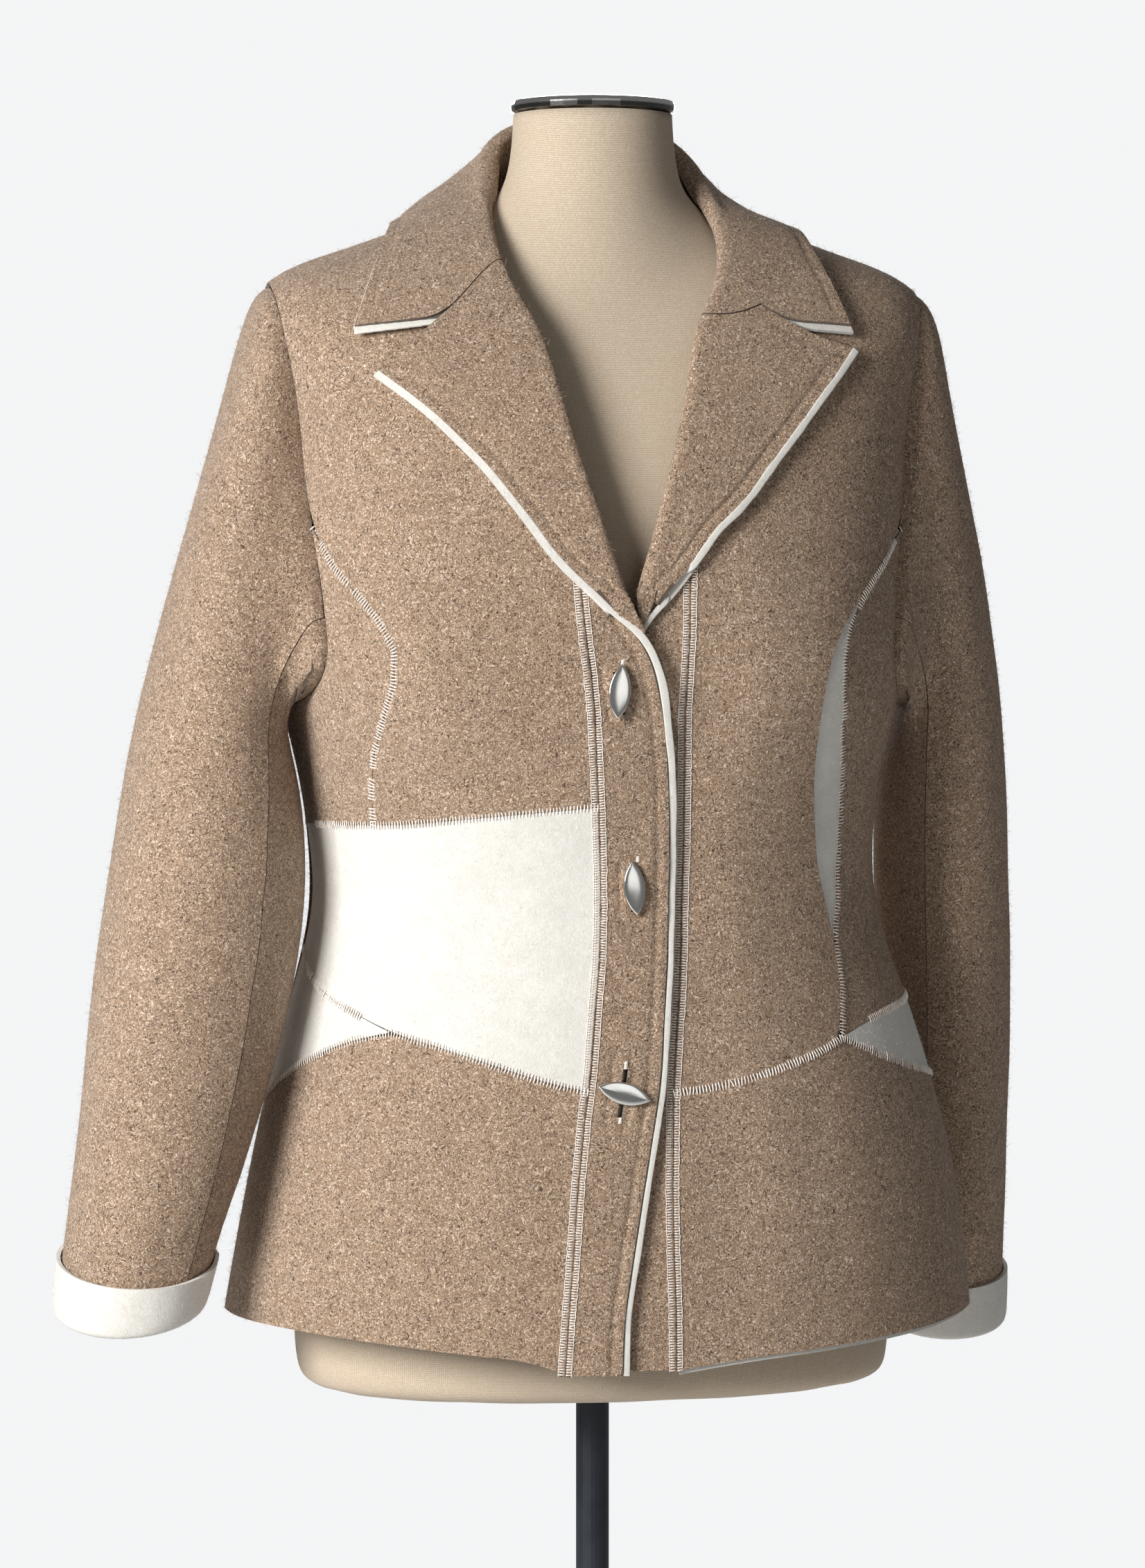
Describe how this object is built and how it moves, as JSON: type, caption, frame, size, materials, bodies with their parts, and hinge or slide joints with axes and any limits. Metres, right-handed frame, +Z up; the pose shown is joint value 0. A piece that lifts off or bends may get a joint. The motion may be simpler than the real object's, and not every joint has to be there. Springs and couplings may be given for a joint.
{
  "type": "short coat on a dress form",
  "caption": "Short single-breasted wool coat with notched lapels, contrast panels, turned-up cuffs and metal buttons, on a limbless dress form with neck cap, pole and round base.",
  "frame": {"origin": "centre of the stand's base plate, on its underside", "axes": "+Z up along the pole, -Y towards the coat's front, +X towards the wearer's left"},
  "size_m": [0.6262, 0.37, 1.4818],
  "materials": {
    "taupe_wool": "heathered boiled wool, matt and fuzzy",
    "ivory_wool": "felted wool, matt",
    "linen": "plain-woven linen, matt",
    "nickel": "polished",
    "dark_steel": "dark blue-black, satin"
  },
  "bodies": {
    "root": {"back_left": "taupe_wool", "back_right": "taupe_wool", "base_plate": "dark_steel", "base_socket": "dark_steel", "button_1": "nickel", "button_2": "nickel", "button_3": "nickel", "collar": "taupe_wool", "form_torso": "linen", "left_crescent": "ivory_wool", "left_cuff": "ivory_wool", "left_front_band": "taupe_wool", "left_front_skirt": "taupe_wool", "left_front_upper": "taupe_wool", "left_hem_strip": "ivory_wool", "left_hip_gusset": "ivory_wool", "left_lapel": "taupe_wool", "left_side_front": "taupe_wool", "left_sleeve_under": "taupe_wool", "left_sleeve_upper": "taupe_wool", "left_under_lapel": "ivory_wool", "neck_cap": "nickel", "pole": "dark_steel", "right_cuff": "ivory_wool", "right_facing": "ivory_wool", "right_front_band": "taupe_wool", "right_front_skirt": "taupe_wool", "right_front_upper": "taupe_wool", "right_hip_gusset": "ivory_wool", "right_lapel": "taupe_wool", "right_side_front": "taupe_wool", "right_sleeve_under": "taupe_wool", "right_sleeve_upper": "taupe_wool", "right_under_lapel": "ivory_wool", "right_waist_panel": "ivory_wool", "under_collar": "ivory_wool"}
  },
  "joints": []
}
